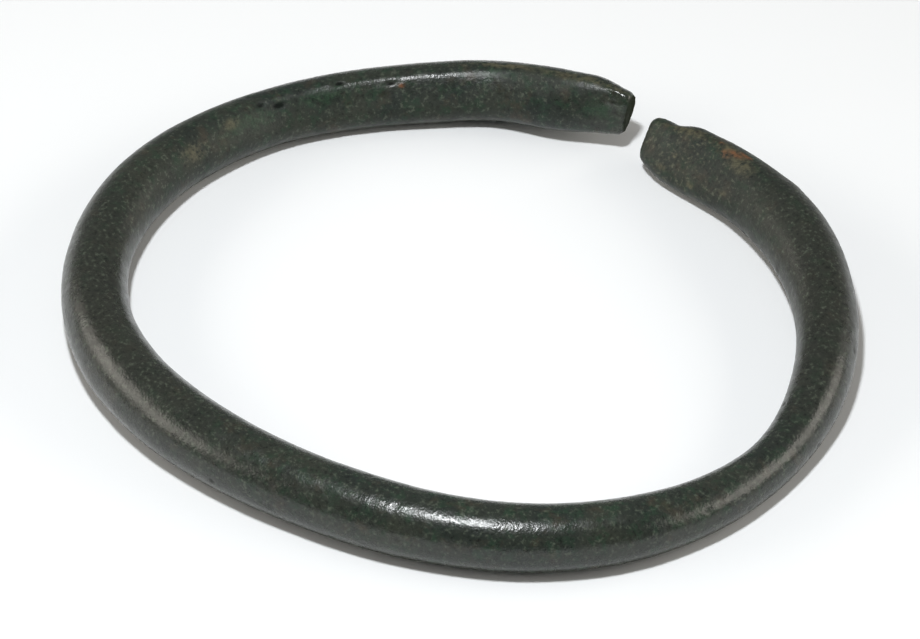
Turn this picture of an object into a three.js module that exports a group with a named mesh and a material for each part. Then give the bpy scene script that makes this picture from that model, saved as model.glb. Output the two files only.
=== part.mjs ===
// A manilla: a plain open ring of bronze, cast as one round rod and bent to an oval,
// with its two hammered ends almost meeting in the middle of a long side.
//
// Frame: millimetres, +Z up. The ring lies flat on its worn underside at z = 0, its long axis
// along X and its gap towards +Y. The origin is on the ground below the middle of its box.

import * as THREE from 'three';

// Oval that the middle of the rod follows, seen from above
const LONG_AXIS = 67.1;
const SHORT_AXIS = 58.4;
const EGG = 0.6; // the gap side bulges by this much, and the far side is as much flatter

// The rod at stations round the ring, in degrees from the gap by way of the left arm:
// its thickness, the depth of the facet hammered along its inner side and how far that facet
// tilts up, the lift of its underside off the ground, and how far it strays out of the oval
const STATIONS = [
  { at: -0.9, thick: 4.2, facet: 1.5, tilt: 12, lift: 2, stray: 0 },
  { at: 6, thick: 5.3, facet: 1.3, tilt: 20, lift: 1.4, stray: -0.1 },
  { at: 13, thick: 5.8, facet: 1, tilt: 30, lift: 0.8, stray: -0.1 },
  { at: 24, thick: 5.7, facet: 0.7, tilt: 35, lift: 0.3, stray: 0.5 },
  { at: 38, thick: 5.7, facet: 0.6, tilt: 35, lift: 0, stray: 0.1 },
  { at: 65, thick: 5.4, facet: 0.4, tilt: 35, lift: 0, stray: 0.2 },
  { at: 90, thick: 5.8, facet: 0.1, tilt: 35, lift: 0, stray: -0.1 },
  { at: 115, thick: 5.9, facet: 0, tilt: 35, lift: 0, stray: -0.4 },
  { at: 150, thick: 6.5, facet: 0, tilt: 35, lift: 0, stray: -0.2 },
  { at: 190, thick: 6.2, facet: 0, tilt: 35, lift: 0, stray: 0 },
  { at: 215, thick: 5.9, facet: 0, tilt: 35, lift: 0, stray: 0.2 },
  { at: 232, thick: 5.6, facet: 0, tilt: 35, lift: 0, stray: 0.2 },
  { at: 247, thick: 4.9, facet: 0, tilt: 35, lift: 0, stray: 0 },
  { at: 262, thick: 4.3, facet: 0, tilt: 35, lift: 0, stray: -0.1 },
  { at: 280, thick: 5.1, facet: 0, tilt: 35, lift: 0, stray: -0.1 },
  { at: 300, thick: 5.8, facet: 0, tilt: 35, lift: 0, stray: 0.2 },
  { at: 318, thick: 6.4, facet: 0.1, tilt: 38, lift: 0, stray: 0.3 },
  { at: 330, thick: 6.3, facet: 0.7, tilt: 40, lift: 0, stray: -0.1 },
  { at: 339, thick: 6.3, facet: 1.4, tilt: 41, lift: 0, stray: -0.7 },
  { at: 348, thick: 5.6, facet: 1.5, tilt: 41, lift: 0.2, stray: -1 },
  { at: 354.9, thick: 4, facet: 1.4, tilt: 41, lift: 0.9, stray: -0.6 },
];
const FIELDS = ['thick', 'facet', 'tilt', 'lift', 'stray'];

// How softly the facet meets the round of the rod
const FACET_EDGE = 0.4;

// The ends: the rounding of their edges, and their slant, as neither is cut square. The top leans
// over the gap by a share of its height, the outer side draws back from the gap by a share of its
// distance out, and both die away within a length of the rod.
const LEFT_TIP = { gapwards: -1, rounding: 0.3, lean: 0.12, draw: 0.14 };
const RIGHT_TIP = { gapwards: 1, rounding: 1.2, lean: 0.22, draw: 0 };
const SLANT_LENGTH = 4;

// Depth worn off the underside where the ring has lain and rubbed
const WORN_FLAT = 0.15;

// Lumps that hammering raised near the ends, and one dent: degrees round the ring, degrees round
// the rod from its outer side up over the top, height, and spread along and round the rod
const LUMPS = [
  { at: 355, round: 60, height: 0.12, along: 1, around: 1.5 },
  { at: 349, round: 45, height: -0.42, along: 1.1, around: 1.4 },
  { at: 344.6, round: 45, height: 0.15, along: 1, around: 1.2 },
  { at: 324, round: 40, height: 0.16, along: 0.6, around: 1 },
  { at: 5.5, round: 50, height: 0.2, along: 1.6, around: 1.2 },
];

// Facets: steps round the rod and along it, packed closer towards the ends
const AROUND = 32;
const ALONG = 140;
const END_PACKING = 0.7;

// Degrees looked ahead and behind to find the rod's direction
const AHEAD = 0.05;

const LEFT_END = STATIONS[0].at;
const RIGHT_END = STATIONS[STATIONS.length - 1].at;
const MEAN_RADIUS = (LONG_AXIS + SHORT_AXIS) / 4;
const OVALNESS = (LONG_AXIS - SHORT_AXIS) / 4;

const stationCurve = new THREE.CubicInterpolant(
  STATIONS.map((station) => station.at),
  STATIONS.flatMap((station) => FIELDS.map((field) => station[field])),
  FIELDS.length,
);

// The rod's own sizes at a place round the ring
function rodAt(degrees) {
  const values = stationCurve.evaluate(degrees);
  return Object.fromEntries(FIELDS.map((field, index) => [field, values[index]]));
}

// Middle of the rod seen from above
function middleAt(degrees) {
  const turn = THREE.MathUtils.degToRad(degrees);
  const radius = MEAN_RADIUS - OVALNESS * Math.cos(2 * turn) + EGG * Math.cos(3 * turn)
    + rodAt(degrees).stray;
  return new THREE.Vector2(-radius * Math.sin(turn), radius * Math.cos(turn));
}

// Level direction square to the rod, pointing out of the ring
function outwardAt(degrees) {
  const forward = middleAt(degrees + AHEAD).sub(middleAt(degrees - AHEAD)).normalize();
  return new THREE.Vector2(forward.y, -forward.x);
}

// Smooth version of max(value, 0), rounded over the given width
function softAbove(value, width) {
  return (value + Math.hypot(value, width)) / 2;
}

// Millimetres along the rod between two places round the ring
function lengthBetween(degreesA, degreesB) {
  return MEAN_RADIUS * THREE.MathUtils.degToRad(Math.abs(degreesA - degreesB));
}

// The nearer end of the rod and the distance to it
function nearerEnd(degrees) {
  const left = lengthBetween(degrees, LEFT_END);
  const right = lengthBetween(degrees, RIGHT_END);
  return left < right ? { ...LEFT_TIP, distance: left } : { ...RIGHT_TIP, distance: right };
}

// How far the rod's surface draws in at a rounded end
function endInset(degrees) {
  const { distance, rounding } = nearerEnd(degrees);
  const short = Math.max(1 - distance / rounding, 0);
  return rounding * (1 - Math.sqrt(1 - short * short));
}

// Degrees that a point of the cross-section moves because the nearer end is cut aslant
function endSlant(degrees, section) {
  const { distance, gapwards, lean, draw } = nearerEnd(degrees);
  const share = Math.max(1 - distance / SLANT_LENGTH, 0);
  const shift = share * (lean * section.y - draw * section.x);
  return gapwards * THREE.MathUtils.radToDeg(shift / MEAN_RADIUS);
}

// Height of the hammered lumps at a place on the rod
function lumpHeight(degrees, turn, radius) {
  let height = 0;
  for (const lump of LUMPS) {
    const along = lengthBetween(degrees, lump.at) / lump.along;
    const around = (turn - THREE.MathUtils.degToRad(lump.round)) * radius / lump.around;
    height += lump.height * Math.exp(-along * along - around * around);
  }
  return height;
}

// Point of the rod's cross-section: x out of the ring and y up, from the middle of the rod.
// The turn goes from the outer side up over the top, and fill runs from the middle to the skin.
function sectionPoint(degrees, turn, fill) {
  const rod = rodAt(degrees);
  const radius = rod.thick / 2;
  const tilt = THREE.MathUtils.degToRad(rod.tilt);
  const facing = new THREE.Vector2(-Math.cos(tilt), Math.sin(tilt));
  const reach = radius + lumpHeight(degrees, turn, radius);
  const point = new THREE.Vector2(Math.cos(turn), Math.sin(turn)).multiplyScalar(reach);
  const past = point.dot(facing) - (radius - rod.facet);
  const cut = Math.min(1, rod.facet / FACET_EDGE);
  point.addScaledVector(facing, -cut * softAbove(past, FACET_EDGE));
  const heart = facing.multiplyScalar(-rod.facet / 2);
  const shrink = 1 - endInset(degrees) / radius;
  return point.sub(heart).multiplyScalar(fill * shrink).add(heart);
}

// Point of the ring for a place along, round and into the rod
function ringPoint(degrees, turn, fill) {
  const rod = rodAt(degrees);
  const section = sectionPoint(degrees, turn, fill);
  const slanted = degrees + endSlant(degrees, section);
  const level = middleAt(slanted).addScaledVector(outwardAt(slanted), section.x);
  const height = rod.thick / 2 - WORN_FLAT + rod.lift + section.y;
  return new THREE.Vector3(level.x, level.y, Math.max(height, 0));
}

// Whole ring: a closed cylinder of unit size, with every point carried to its place on the rod
function ringGeometry() {
  const geometry = new THREE.CylinderGeometry(1, 1, 1, AROUND, ALONG);
  const position = geometry.attributes.position;
  for (let index = 0; index < position.count; index += 1) {
    const share = position.getY(index) + 0.5;
    const packed = share - END_PACKING * Math.sin(2 * Math.PI * share) / (2 * Math.PI);
    const degrees = THREE.MathUtils.lerp(LEFT_END, RIGHT_END, packed);
    const turn = Math.atan2(position.getZ(index), position.getX(index));
    const fill = Math.hypot(position.getX(index), position.getZ(index));
    const point = ringPoint(degrees, turn, fill);
    position.setXYZ(index, point.x, point.y, point.z);
  }
  geometry.computeVertexNormals();
  geometry.computeBoundingBox();
  const middle = geometry.boundingBox.getCenter(new THREE.Vector3());
  geometry.translate(-middle.x, -middle.y, -geometry.boundingBox.min.z);
  return geometry;
}

// Bronze under a dark green, slightly glossy patina
const patinatedBronze = new THREE.MeshStandardMaterial({
  color: 0x38423a,
  roughness: 0.4,
  metalness: 0.3,
});

const ring = new THREE.Mesh(ringGeometry(), patinatedBronze);
ring.name = 'manilla_ring';

const manilla = new THREE.Group();
manilla.add(ring);

export default manilla;
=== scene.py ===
# A manilla on a pale floor: an open bronze ring under a dark, slightly glossy green patina.
#
# Lengths named here are in millimetres and angles in degrees; Blender itself works in metres.
# A place on the ring is given as along, the millimetres along the rod from its left end, and
# turn, the degrees round the rod from its outer side up over the top to its inner side.

import math

import bmesh
import bpy
import numpy as np
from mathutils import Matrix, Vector, noise


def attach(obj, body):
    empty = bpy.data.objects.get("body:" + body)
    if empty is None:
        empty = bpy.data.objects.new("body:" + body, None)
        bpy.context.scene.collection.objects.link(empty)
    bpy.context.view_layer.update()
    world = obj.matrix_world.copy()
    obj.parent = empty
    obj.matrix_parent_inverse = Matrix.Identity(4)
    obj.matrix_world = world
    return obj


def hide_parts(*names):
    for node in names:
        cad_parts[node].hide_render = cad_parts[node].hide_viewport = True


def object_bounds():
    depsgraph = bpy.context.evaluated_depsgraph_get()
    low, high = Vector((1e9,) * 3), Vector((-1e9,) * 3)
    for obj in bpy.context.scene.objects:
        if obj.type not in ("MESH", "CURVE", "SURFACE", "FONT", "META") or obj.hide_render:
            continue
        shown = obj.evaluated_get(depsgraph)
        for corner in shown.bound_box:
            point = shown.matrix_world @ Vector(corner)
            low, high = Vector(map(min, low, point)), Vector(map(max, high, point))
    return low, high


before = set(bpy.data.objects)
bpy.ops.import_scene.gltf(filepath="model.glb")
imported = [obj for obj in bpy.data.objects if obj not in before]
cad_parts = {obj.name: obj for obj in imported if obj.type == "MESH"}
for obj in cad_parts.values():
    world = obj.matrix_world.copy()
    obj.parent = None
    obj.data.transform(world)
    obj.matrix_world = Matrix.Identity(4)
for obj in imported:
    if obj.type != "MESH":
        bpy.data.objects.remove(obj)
cad_low, cad_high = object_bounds()

MM = 0.001

# Fine mesh: points round the rod, spacing of the rows along it, and rows across each end face
AROUND = 96
SPACING = 0.215
END_ROWS = 8

# Points of the solid closer than this are one point, and an end's middle has more edges than this
WELD = 0.001
PLAIN_EDGES = 12

# Unevenness that casting and hammering left: size and height of its swells, and its noise's start
SWELLS = [(7.0, 0.05), (2.6, 0.022)]
SWELL_SEED = (11.3, 4.1, 7.7)

# Grain of the corroded skin
GRAIN_SIZE = 0.55
GRAIN_HEIGHT = 0.012
GRAIN_SEED = (3.9, 15.2, 8.4)

# The ends are rougher, within this length of each
END_LENGTH = 14
END_ROUGHER = 1.2

# Near its ends the rod is worn rounder than the solid: how much and over what length at the left
# end and at the right end, and over how many points to either side of each point
LEFT_WEAR = (0.9, 14)
RIGHT_WEAR = (0.85, 24)
WEAR_REACH = 11

# Small pits strewn over the skin
PIT_COUNT = 260
PIT_RADIUS = (0.16, 0.42)
PIT_DEPTH = (0.015, 0.05)
PIT_SEED = 64

# Marks that show in the photograph: along, turn, height above the skin, spread along and round
MARKS = [
    (34.6, 122, -0.15, 0.70, 0.45),
    (36.4, 108, -0.10, 0.60, 0.45),
    (28.3, 104, -0.16, 0.45, 0.22),
    (29.5, 103, 0.08, 0.70, 0.16),
    (23.4, 119, -0.12, 0.45, 0.22),
    (22.4, 125, 0.06, 0.30, 0.25),
    (34.3, 101, 0.07, 0.25, 0.20),
    (1.5, 96, 0.12, 0.80, 0.60),
    (1.5, 134, 0.12, 0.80, 0.60),
    (188.5, 182, 0.06, 0.25, 0.25),
    (191.2, 142, 0.05, 0.25, 0.20),
]

# Patches of other patina: kind, along, turn, spread along and round. Rust, olive and moss are
# ragged spots of colour, earth is a dull brown stretch, crust is the skin of the two end faces,
# gloss and matte change only the shine, and fleck is a scatter of pale specks.
PATCHES = [
    ("rust", 186.6, 98, 0.7, 0.5),
    ("rust", 185.6, 86, 0.9, 0.4),
    ("rust", 184.8, 74, 0.7, 0.3),
    ("rust", 187.7, 78, 0.3, 0.3),
    ("rust", 22.4, 125, 0.3, 0.25),
    ("olive", 186.6, 83, 1.2, 0.7),
    ("olive", 184.2, 100, 1.5, 1.0),
    ("olive", 191.6, 84, 2.4, 0.8),
    ("olive", 192.1, 175, 0.6, 0.4),
    ("olive", 191.2, 142, 0.4, 0.3),
    ("olive", 188.5, 180, 0.5, 0.35),
    ("olive", 184.4, 160, 0.5, 0.3),
    ("olive", 4.7, 88, 4.0, 0.7),
    ("olive", 12.2, 84, 4.0, 0.5),
    ("olive", 40.2, 124, 0.9, 0.6),
    ("olive", 45.5, 140, 1.6, 1.0),
    ("moss", 2.2, 160, 1.5, 1.1),
    ("moss", 38.5, 134, 2.8, 1.1),
    ("moss", 13.5, 107, 1.5, 0.6),
    ("moss", 30.2, 125, 2.5, 0.8),
    ("earth", 74, 90, 24, 30),
    ("earth", 164, 90, 20, 30),
    ("crust", 0, 0, 0.15, 30),
    ("crust", 196, 0, 0.5, 30),
    ("gloss", 1.5, 109, 0.9, 0.8),
    ("matte", 8.8, 110, 6.0, 1.8),
    ("matte", 22, 178, 18, 2.2),
    ("matte", 46, 130, 13, 5),
    ("matte", 186, 130, 20, 9),
    ("fleck", 190, 130, 6, 9),
]
PATCH_KINDS = sorted({kind for kind, *_ in PATCHES})


def rings_of(solid):
    """The solid's rings of points from its left end to its right end, and each end's middle."""
    shell = bmesh.new()
    shell.from_mesh(solid.data)
    bmesh.ops.remove_doubles(shell, verts=shell.verts, dist=WELD * MM)
    middles = [point for point in shell.verts if len(point.link_edges) > PLAIN_EDGES]
    left, right = sorted(middles, key=lambda point: point.co.x)
    rings = []
    seen = {left}
    ring = neighbours({left}) - seen
    while right not in ring:
        points = in_order(np.array([point.co for point in ring]))
        rings.append(points if not rings else started_like(points, rings[-1]))
        seen |= ring
        ring = neighbours(ring) - seen
    ends = np.array(left.co), np.array(right.co)
    shell.free()
    return np.array(rings), ends


def neighbours(points):
    """All mesh points that share an edge with these."""
    return {edge.other_vert(point) for point in points for edge in point.link_edges}


def in_order(points):
    """A ring's points in order, from its outer side up over the top and round underneath."""
    offset = points - points.mean(axis=0)
    outward = points.mean(axis=0) * (1, 1, 0)
    outward /= np.linalg.norm(outward)
    turn = np.arctan2(offset[:, 2], offset @ outward)
    return points[np.argsort(turn % (2 * math.pi))]


def started_like(points, before):
    """The same ring, begun at the point that follows the first one of the ring before it."""
    def misfit(shift):
        return np.square(np.roll(points, shift, axis=0) - before).sum()
    return np.roll(points, min(range(len(points)), key=misfit), axis=0)


def smooth_rows(rows, places):
    """Rows on the smooth (Catmull-Rom) curve through the given rows, at fractional row numbers."""
    start = np.clip(np.floor(places).astype(int), 0, len(rows) - 2)
    share = (places - start)[:, None, None]
    a, b, c, d = (rows[np.clip(start + step, 0, len(rows) - 1)] for step in (-1, 0, 1, 2))
    bend = 2 * a - 5 * b + 4 * c - d + share * (3 * (b - c) + d - a)
    return b + share / 2 * (c - a + share * bend)


def fine_rows(rings):
    """The solid's rings as closely spaced rows, and how far along the rod each row lies."""
    middles = rings.mean(axis=1)
    stretches = np.linalg.norm(np.diff(middles, axis=0), axis=1)
    travelled = np.concatenate([[0], np.cumsum(stretches)])
    along = np.linspace(0, travelled[-1], round(travelled[-1] / (SPACING * MM)) + 1)
    rows = smooth_rows(rings, np.interp(along, travelled, np.arange(len(rings))))
    columns = rows.swapaxes(0, 1)
    wrapped = np.concatenate([columns[-2:], columns, columns[:3]])
    places = 2 + np.arange(AROUND) * len(columns) / AROUND
    return smooth_rows(wrapped, places).swapaxes(0, 1), along


def worn_rows(rows, along):
    """The same rows, with the edges of the hammered facets worn round near the ends."""
    steps = range(-WEAR_REACH, WEAR_REACH + 1)
    soft = np.mean([np.roll(rows, step, axis=1) for step in steps], axis=0)
    middles = rows.mean(axis=1, keepdims=True)
    size = np.linalg.norm(rows - middles, axis=2).mean(axis=1)
    soft_size = np.linalg.norm(soft - middles, axis=2).mean(axis=1)
    soft = middles + (soft - middles) * (size / soft_size)[:, None, None]
    share = np.zeros(len(rows))
    for (wear, length), from_end in ((LEFT_WEAR, along), (RIGHT_WEAR, along[-1] - along)):
        share += wear * np.exp(-(from_end / (length * MM)) ** 2)
    return rows + share[:, None, None] * (soft - rows)


def end_rows(middle, rim):
    """Rows across an end face, from near its middle to just inside its rim."""
    shares = np.arange(1, END_ROWS) / END_ROWS
    return middle + shares[:, None, None] * (rim - middle)


def ring_mesh(solid):
    """The fine mesh of the ring, with along and turn for each of its points."""
    rings, (left, right) = rings_of(solid)
    rows, along = fine_rows(rings)
    rows = worn_rows(rows, along)
    left_face = end_rows(left, rows[0])
    right_face = end_rows(right, rows[-1])[::-1]
    rows = np.concatenate([left_face, rows, right_face])
    along = np.pad(along, (len(left_face), len(right_face)), mode="edge") / MM
    count = len(rows) * AROUND
    points = np.concatenate([rows.reshape(-1, 3), [left], [right]])
    faces = []
    for row in range(len(rows) - 1):
        for column in range(AROUND):
            beside = (column + 1) % AROUND
            here, there = row * AROUND, (row + 1) * AROUND
            faces.append((here + column, there + column, there + beside, here + beside))
    last = count - AROUND
    for column in range(AROUND):
        beside = (column + 1) % AROUND
        faces.append((count, column, beside))
        faces.append((count + 1, last + beside, last + column))
    mesh = bpy.data.meshes.new("ring")
    mesh.from_pydata(points.tolist(), [], faces)
    mesh.update()
    turns = np.tile(np.arange(AROUND) * 360 / AROUND, len(rows))
    return mesh, np.append(np.repeat(along, AROUND), along[[0, -1]]), np.append(turns, [0, 0])


def blob(along, turn, radius, spot):
    """How strongly a soft spot at along and turn, with its two spreads, covers each point."""
    spot_along, spot_turn, spread_along, spread_round = spot
    aside = np.radians((turn - spot_turn + 180) % 360 - 180) * radius
    return np.exp(-((along - spot_along) / spread_along) ** 2 - (aside / spread_round) ** 2)


def swell_heights(points):
    """Gentle unevenness, in millimetres."""
    heights = np.zeros(len(points))
    for size, height in SWELLS:
        places = points / (size * MM) + SWELL_SEED
        heights += height * np.array([noise.noise(Vector(place)) for place in places])
    return heights


def grain_heights(points):
    """Fine grain, in millimetres."""
    places = points / (GRAIN_SIZE * MM) + GRAIN_SEED
    return GRAIN_HEIGHT * np.array([noise.fractal(Vector(p), 1.0, 2.0, 2) for p in places])


def pit_heights(points):
    """Small pits strewn over the skin, in millimetres."""
    draw = np.random.default_rng(PIT_SEED)
    heights = np.zeros(len(points))
    for place in draw.integers(len(points), size=PIT_COUNT):
        radius = draw.uniform(*PIT_RADIUS) * MM
        depth = draw.uniform(*PIT_DEPTH)
        away = np.linalg.norm(points - points[place], axis=1) / radius
        heights -= depth * np.exp(-away ** 4)
    return heights


def add_relief(mesh, along, turn):
    """Swells, grain, pits and the marks of the photograph, raised or sunk square to the skin."""
    count = len(mesh.vertices)
    flat = np.empty(count * 3)
    mesh.vertices.foreach_get("co", flat)
    points = flat.reshape(-1, 3)
    normals = np.empty(count * 3)
    mesh.vertex_normals.foreach_get("vector", normals)
    normals = normals.reshape(-1, 3)
    radius = (cad_high.z - cad_low.z) / 2 / MM
    from_end = np.minimum(along, along.max() - along)
    rougher = 1 + END_ROUGHER * np.exp(-(from_end / END_LENGTH) ** 2)
    heights = (swell_heights(points) + grain_heights(points)) * rougher
    sunk = pit_heights(points)
    for spot_along, spot_turn, height, *spread in MARKS:
        sunk += height * blob(along, turn, radius, (spot_along, spot_turn, *spread))
    heights += sunk
    points = points + normals * heights[:, None] * MM
    points[:, 2] = np.maximum(points[:, 2], cad_low.z)
    mesh.vertices.foreach_set("co", points.ravel())
    for kind in PATCH_KINDS:
        cover = np.zeros(count)
        for patch, *spot in PATCHES:
            if patch == kind:
                cover = np.maximum(cover, blob(along, turn, radius, spot))
        mesh.attributes.new(kind, "FLOAT", "POINT").data.foreach_set("value", cover)
    mesh.attributes.new("pit", "FLOAT", "POINT").data.foreach_set("value", -sunk)
    mesh.update()


def tone(red, green, blue):
    """A colour from its screen values, 0 to 255, as Blender's linear colour."""
    def linear(value):
        share = value / 255
        return share / 12.92 if share <= 0.04045 else ((share + 0.055) / 1.055) ** 2.4
    return linear(red), linear(green), linear(blue), 1


# Sockets of a Mix node that mixes colours
MIX_SHARE = 0
MIX_FIRST = 6
MIX_SECOND = 7
MIX_RESULT = 2


class Shader:
    """A material's node tree, with short calls for the nodes that it uses."""

    def __init__(self, name):
        self.material = bpy.data.materials.new(name)
        self.material.use_nodes = True
        self.tree = self.material.node_tree
        self.surface = self.tree.nodes["Principled BSDF"]
        self.place = self.tree.nodes.new("ShaderNodeTexCoord").outputs["Object"]

    def join(self, value, socket):
        """Sets a socket to a number or colour, or links it to another node's output."""
        if isinstance(value, bpy.types.NodeSocket):
            self.tree.links.new(value, socket)
        else:
            socket.default_value = value

    def noise(self, size, detail=3, roughness=0.6):
        """Cloudy noise whose blotches are about this many millimetres across."""
        node = self.tree.nodes.new("ShaderNodeTexNoise")
        node.inputs["Scale"].default_value = 1 / (size * MM)
        node.inputs["Detail"].default_value = detail
        node.inputs["Roughness"].default_value = roughness
        self.join(self.place, node.inputs["Vector"])
        return node.outputs["Fac"]

    def cover(self, kind):
        """How strongly a kind of patch, stored on the mesh, covers each point."""
        node = self.tree.nodes.new("ShaderNodeAttribute")
        node.attribute_name = kind
        return node.outputs["Fac"]

    def between(self, value, low, high, to_low=0.0, to_high=1.0):
        """The value stretched so that low and high become to_low and to_high, and held there."""
        node = self.tree.nodes.new("ShaderNodeMapRange")
        for name, setting in zip(
            ("Value", "From Min", "From Max", "To Min", "To Max"),
            (value, low, high, to_low, to_high),
        ):
            self.join(setting, node.inputs[name])
        return node.outputs["Result"]

    def combine(self, operation, first, second):
        """Two values put together by a maths operation."""
        node = self.tree.nodes.new("ShaderNodeMath")
        node.operation = operation
        self.join(first, node.inputs[0])
        self.join(second, node.inputs[1])
        return node.outputs["Value"]

    def mix(self, share, first, second):
        """The first colour, with a share of the second over it."""
        node = self.tree.nodes.new("ShaderNodeMix")
        node.data_type = "RGBA"
        self.join(share, node.inputs[MIX_SHARE])
        self.join(first, node.inputs[MIX_FIRST])
        self.join(second, node.inputs[MIX_SECOND])
        return node.outputs[MIX_RESULT]

    def bump(self, height, depth):
        """Fine relief of this many millimetres from a value between 0 and 1."""
        node = self.tree.nodes.new("ShaderNodeBump")
        node.inputs["Distance"].default_value = depth * MM
        self.join(height, node.inputs["Height"])
        self.join(node.outputs["Normal"], self.surface.inputs["Normal"])


# Tones of the patina: the dark and the light of its skin, and what lies over them
SKIN_DARK = tone(35, 42, 38)
SKIN_LIGHT = tone(50, 54, 46)
EARTH = tone(45, 46, 40)
PALE_SPECK = tone(92, 100, 86)
DARK_SPECK = tone(16, 19, 17)
FLECK = tone(92, 89, 68)
CRUST = tone(48, 52, 42)
PIT = tone(16, 17, 17)

# Strength of those that lie over the skin
EARTH_STRENGTH = 0.75
PALE_STRENGTH = 0.55
DARK_STRENGTH = 0.6
FLECK_STRENGTH = 0.35
CRUST_STRENGTH = 0.75
PIT_STRENGTH = 0.85

# Mottling: tone, size of the blotches, where in the noise they begin and are full, strength
MOTTLES = [
    (tone(38, 59, 44), 1.3, 0.5, 0.66, 0.75),
    (tone(66, 59, 48), 2.7, 0.55, 0.7, 0.6),
]

# Ragged patches: kind, tone, strength
RAGGED_PATCHES = [
    ("moss", tone(44, 64, 47), 0.7),
    ("olive", tone(88, 85, 66), 0.8),
    ("rust", tone(112, 76, 52), 0.95),
]

# Sizes of the noises: of the skin's tone, its ragged patches, specks, bump and shine
BROAD_SIZE = 6
RAGGED_SIZE = 0.8
SPECK_SIZE = 0.4
BUMP_SIZE = 0.24
SHINE_SIZE = 1.2

# Where in its noise, or in its cover, each of these begins and is full
BROAD_RANGE = (0.35, 0.65)
RAGGED_RANGE = (0.38, 0.6)
PALE_RANGE = (0.56, 0.72)
DARK_RANGE = (0.44, 0.3)
FLECK_RANGE = (0.52, 0.68)
PATCH_RANGE = (0.05, 0.75)
SHINE_RANGE = (0.3, 0.7)

# A pit begins to be dirty and is full of dirt at these depths, less so where the noise is low
PIT_RANGE = (0.01, 0.07)
PIT_LEAST = 0.5

# Shine: roughness of the skin, how much dirt adds to it and gloss takes off, how much a matte
# patch counts as dirt, and the specular level of clean skin
ROUGHNESS = (0.17, 0.34)
DIRT_ROUGHER = 0.6
GLOSS_SMOOTHER = 0.14
MATTE_AS_DIRT = 0.5
CLEAN_SHINE = 0.5

# Depth of the fine bump
BUMP_DEPTH = 0.03


def patina():
    """Dark green-black patina with green and brown mottling, specks, patches and dirty pits."""
    shader = Shader("patinated_bronze")
    speckle = shader.noise(SPECK_SIZE, 2, 0.7)
    ragged = shader.between(shader.noise(RAGGED_SIZE, 5, 0.75), *RAGGED_RANGE)
    broad = shader.between(shader.noise(BROAD_SIZE), *BROAD_RANGE)
    colour = shader.mix(broad, SKIN_DARK, SKIN_LIGHT)
    for shade, size, low, high, strength in MOTTLES:
        blotches = shader.between(shader.noise(size, 4, 0.7), low, high, 0, strength)
        colour = shader.mix(blotches, colour, shade)
    earth = shader.between(shader.cover("earth"), 0, 1, 0, EARTH_STRENGTH)
    colour = shader.mix(earth, colour, EARTH)
    pale = shader.between(speckle, *PALE_RANGE, 0, PALE_STRENGTH)
    colour = shader.mix(pale, colour, PALE_SPECK)
    dark = shader.between(speckle, *DARK_RANGE, 0, DARK_STRENGTH)
    colour = shader.mix(dark, colour, DARK_SPECK)
    for kind, shade, strength in RAGGED_PATCHES:
        share = shader.combine("MULTIPLY", shader.cover(kind), ragged)
        colour = shader.mix(shader.between(share, *PATCH_RANGE, 0, strength), colour, shade)
    flecks = shader.combine("MULTIPLY", shader.cover("fleck"), shader.between(speckle, *FLECK_RANGE))
    colour = shader.mix(shader.between(flecks, 0, 1, 0, FLECK_STRENGTH), colour, FLECK)
    crust = shader.cover("crust")
    colour = shader.mix(shader.between(crust, 0, 1, 0, CRUST_STRENGTH), colour, CRUST)
    uneven = shader.between(ragged, 0, 1, PIT_LEAST, 1)
    pits = shader.combine("MULTIPLY", shader.cover("pit"), uneven)
    pits = shader.between(pits, *PIT_RANGE, 0, PIT_STRENGTH)
    colour = shader.mix(pits, colour, PIT)
    shader.join(colour, shader.surface.inputs["Base Color"])
    matte = shader.between(shader.cover("matte"), 0, 1, 0, MATTE_AS_DIRT)
    dirt = shader.combine("MAXIMUM", shader.combine("MAXIMUM", crust, pits), matte)
    dull = shader.between(shader.noise(SHINE_SIZE), *SHINE_RANGE, *ROUGHNESS)
    dull = shader.combine("ADD", dull, shader.between(dirt, 0, 1, 0, DIRT_ROUGHER))
    gloss = shader.between(shader.cover("gloss"), 0, 1, 0, GLOSS_SMOOTHER)
    shader.join(shader.combine("SUBTRACT", dull, gloss), shader.surface.inputs["Roughness"])
    shine = shader.between(dirt, 0, 1, CLEAN_SHINE, 0)
    shader.join(shine, shader.surface.inputs["Specular IOR Level"])
    shader.bump(shader.noise(BUMP_SIZE, 2, 0.6), BUMP_DEPTH)
    return shader.material


def ring_piece():
    """The ring as it is seen: the solid's form with its fine relief and patina."""
    mesh, along, turn = ring_mesh(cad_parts["manilla_ring"])
    add_relief(mesh, along, turn)
    mesh.shade_smooth()
    mesh.materials.append(patina())
    ring = bpy.data.objects.new("ring", mesh)
    bpy.context.scene.collection.objects.link(ring)
    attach(ring, "root")
    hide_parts("manilla_ring")


# Camera at the photograph's viewing angle: the point it looks at, in millimetres, how far away
# it stands, and how many of the image's pixels one millimetre covers at that point
IMAGE_WIDTH = 920
LOOK_AT = (1.64, -2.91, 3.0)
CAMERA_AZIMUTH = 30.34
CAMERA_ELEVATION = 40
CAMERA_DISTANCE = 400
PIXELS_PER_MM = 11.323
SENSOR_WIDTH = 36


def towards(azimuth, elevation):
    """Unit direction at an azimuth to the right of the view and an elevation above the floor.

    Azimuth 0 points from the ring to the viewer and 90 to the viewer's right.
    """
    turn = math.radians(CAMERA_AZIMUTH + azimuth)
    rise = math.radians(elevation)
    return Vector((math.sin(turn) * math.cos(rise), -math.cos(turn) * math.cos(rise), math.sin(rise)))


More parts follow.
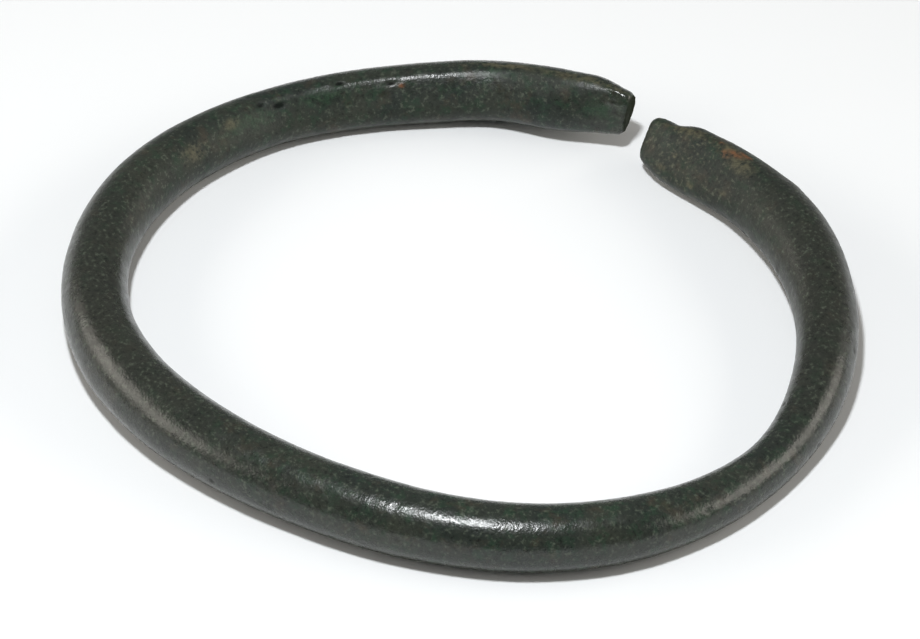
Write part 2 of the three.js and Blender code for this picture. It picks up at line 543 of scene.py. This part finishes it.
def add_camera():
    """The camera, aimed at the ring."""
    data = bpy.data.cameras.new("camera")
    data.sensor_width = SENSOR_WIDTH
    data.lens = SENSOR_WIDTH * PIXELS_PER_MM * CAMERA_DISTANCE / IMAGE_WIDTH
    camera = bpy.data.objects.new("camera", data)
    back = towards(0, CAMERA_ELEVATION)
    camera.location = (Vector(LOOK_AT) + back * CAMERA_DISTANCE) * MM
    camera.rotation_euler = back.to_track_quat("Z", "Y").to_euler()
    bpy.context.scene.collection.objects.link(camera)
    bpy.context.scene.camera = camera


# Floor: its half width and colour
FLOOR_REACH = 3000
FLOOR_TONE = (0.91, 0.925, 0.935, 1)


def add_floor():
    """A plain pale floor under the ring."""
    reach = FLOOR_REACH * MM
    corners = [(-reach, -reach, 0), (reach, -reach, 0), (reach, reach, 0), (-reach, reach, 0)]
    mesh = bpy.data.meshes.new("floor")
    mesh.from_pydata(corners, [], [(0, 1, 2, 3)])
    material = bpy.data.materials.new("floor")
    material.use_nodes = True
    surface = material.node_tree.nodes["Principled BSDF"]
    surface.inputs["Base Color"].default_value = FLOOR_TONE
    surface.inputs["Roughness"].default_value = 1
    surface.inputs["Specular IOR Level"].default_value = 0
    mesh.materials.append(material)
    floor = bpy.data.objects.new("floor", mesh)
    bpy.context.scene.collection.objects.link(floor)


# Lights: name, azimuth and elevation from the ring, distance, width, height, watts, colour
LIGHTS = [
    ("key", -23, 73, 303, 32, 32, 0.70, (0.96, 0.98, 1.0)),
    ("left", -96, 24, 500, 520, 210, 1.15, (1.0, 0.94, 0.86)),
    ("right", 91, 23, 500, 520, 215, 1.20, (1.0, 0.94, 0.86)),
]

# Sky: its colour on the viewer's side and behind the ring, and where one changes to the other,
# from -1 straight towards the viewer to 1 straight away
SKY_NEAR_VIEWER = (0.10, 0.10, 0.096, 1)
SKY_BEHIND = (0.15, 0.155, 0.16, 1)
SKY_CHANGE = (-0.5, 0.4)


def add_lights():
    """A small light over the ring and a broad one to either side."""
    for name, azimuth, elevation, distance, width, height, power, colour in LIGHTS:
        data = bpy.data.lights.new(name, "AREA")
        data.shape = "RECTANGLE"
        data.size = width * MM
        data.size_y = height * MM
        data.energy = power
        data.color = colour
        light = bpy.data.objects.new(name, data)
        way = towards(azimuth, elevation)
        light.location = way * distance * MM
        light.rotation_euler = way.to_track_quat("Z", "Y").to_euler()
        bpy.context.scene.collection.objects.link(light)


def add_sky():
    """A dim sky, darker on the viewer's side."""
    world = bpy.data.worlds.new("sky")
    world.use_nodes = True
    nodes = world.node_tree.nodes
    links = world.node_tree.links
    place = nodes.new("ShaderNodeTexCoord")
    facing = nodes.new("ShaderNodeVectorMath")
    facing.operation = "DOT_PRODUCT"
    facing.inputs[1].default_value = -towards(0, 0)
    links.new(place.outputs["Generated"], facing.inputs[0])
    share = nodes.new("ShaderNodeMapRange")
    low, high = SKY_CHANGE
    share.inputs["From Min"].default_value = low
    share.inputs["From Max"].default_value = high
    links.new(facing.outputs["Value"], share.inputs["Value"])
    mix = nodes.new("ShaderNodeMix")
    mix.data_type = "RGBA"
    mix.inputs[MIX_FIRST].default_value = SKY_NEAR_VIEWER
    mix.inputs[MIX_SECOND].default_value = SKY_BEHIND
    links.new(share.outputs["Result"], mix.inputs[MIX_SHARE])
    links.new(mix.outputs[MIX_RESULT], nodes["Background"].inputs["Color"])
    bpy.context.scene.world = world


# Colours are shown as they are, with no film curve
bpy.context.scene.view_settings.view_transform = "Standard"

add_camera()
add_floor()
add_lights()
add_sky()
ring_piece()
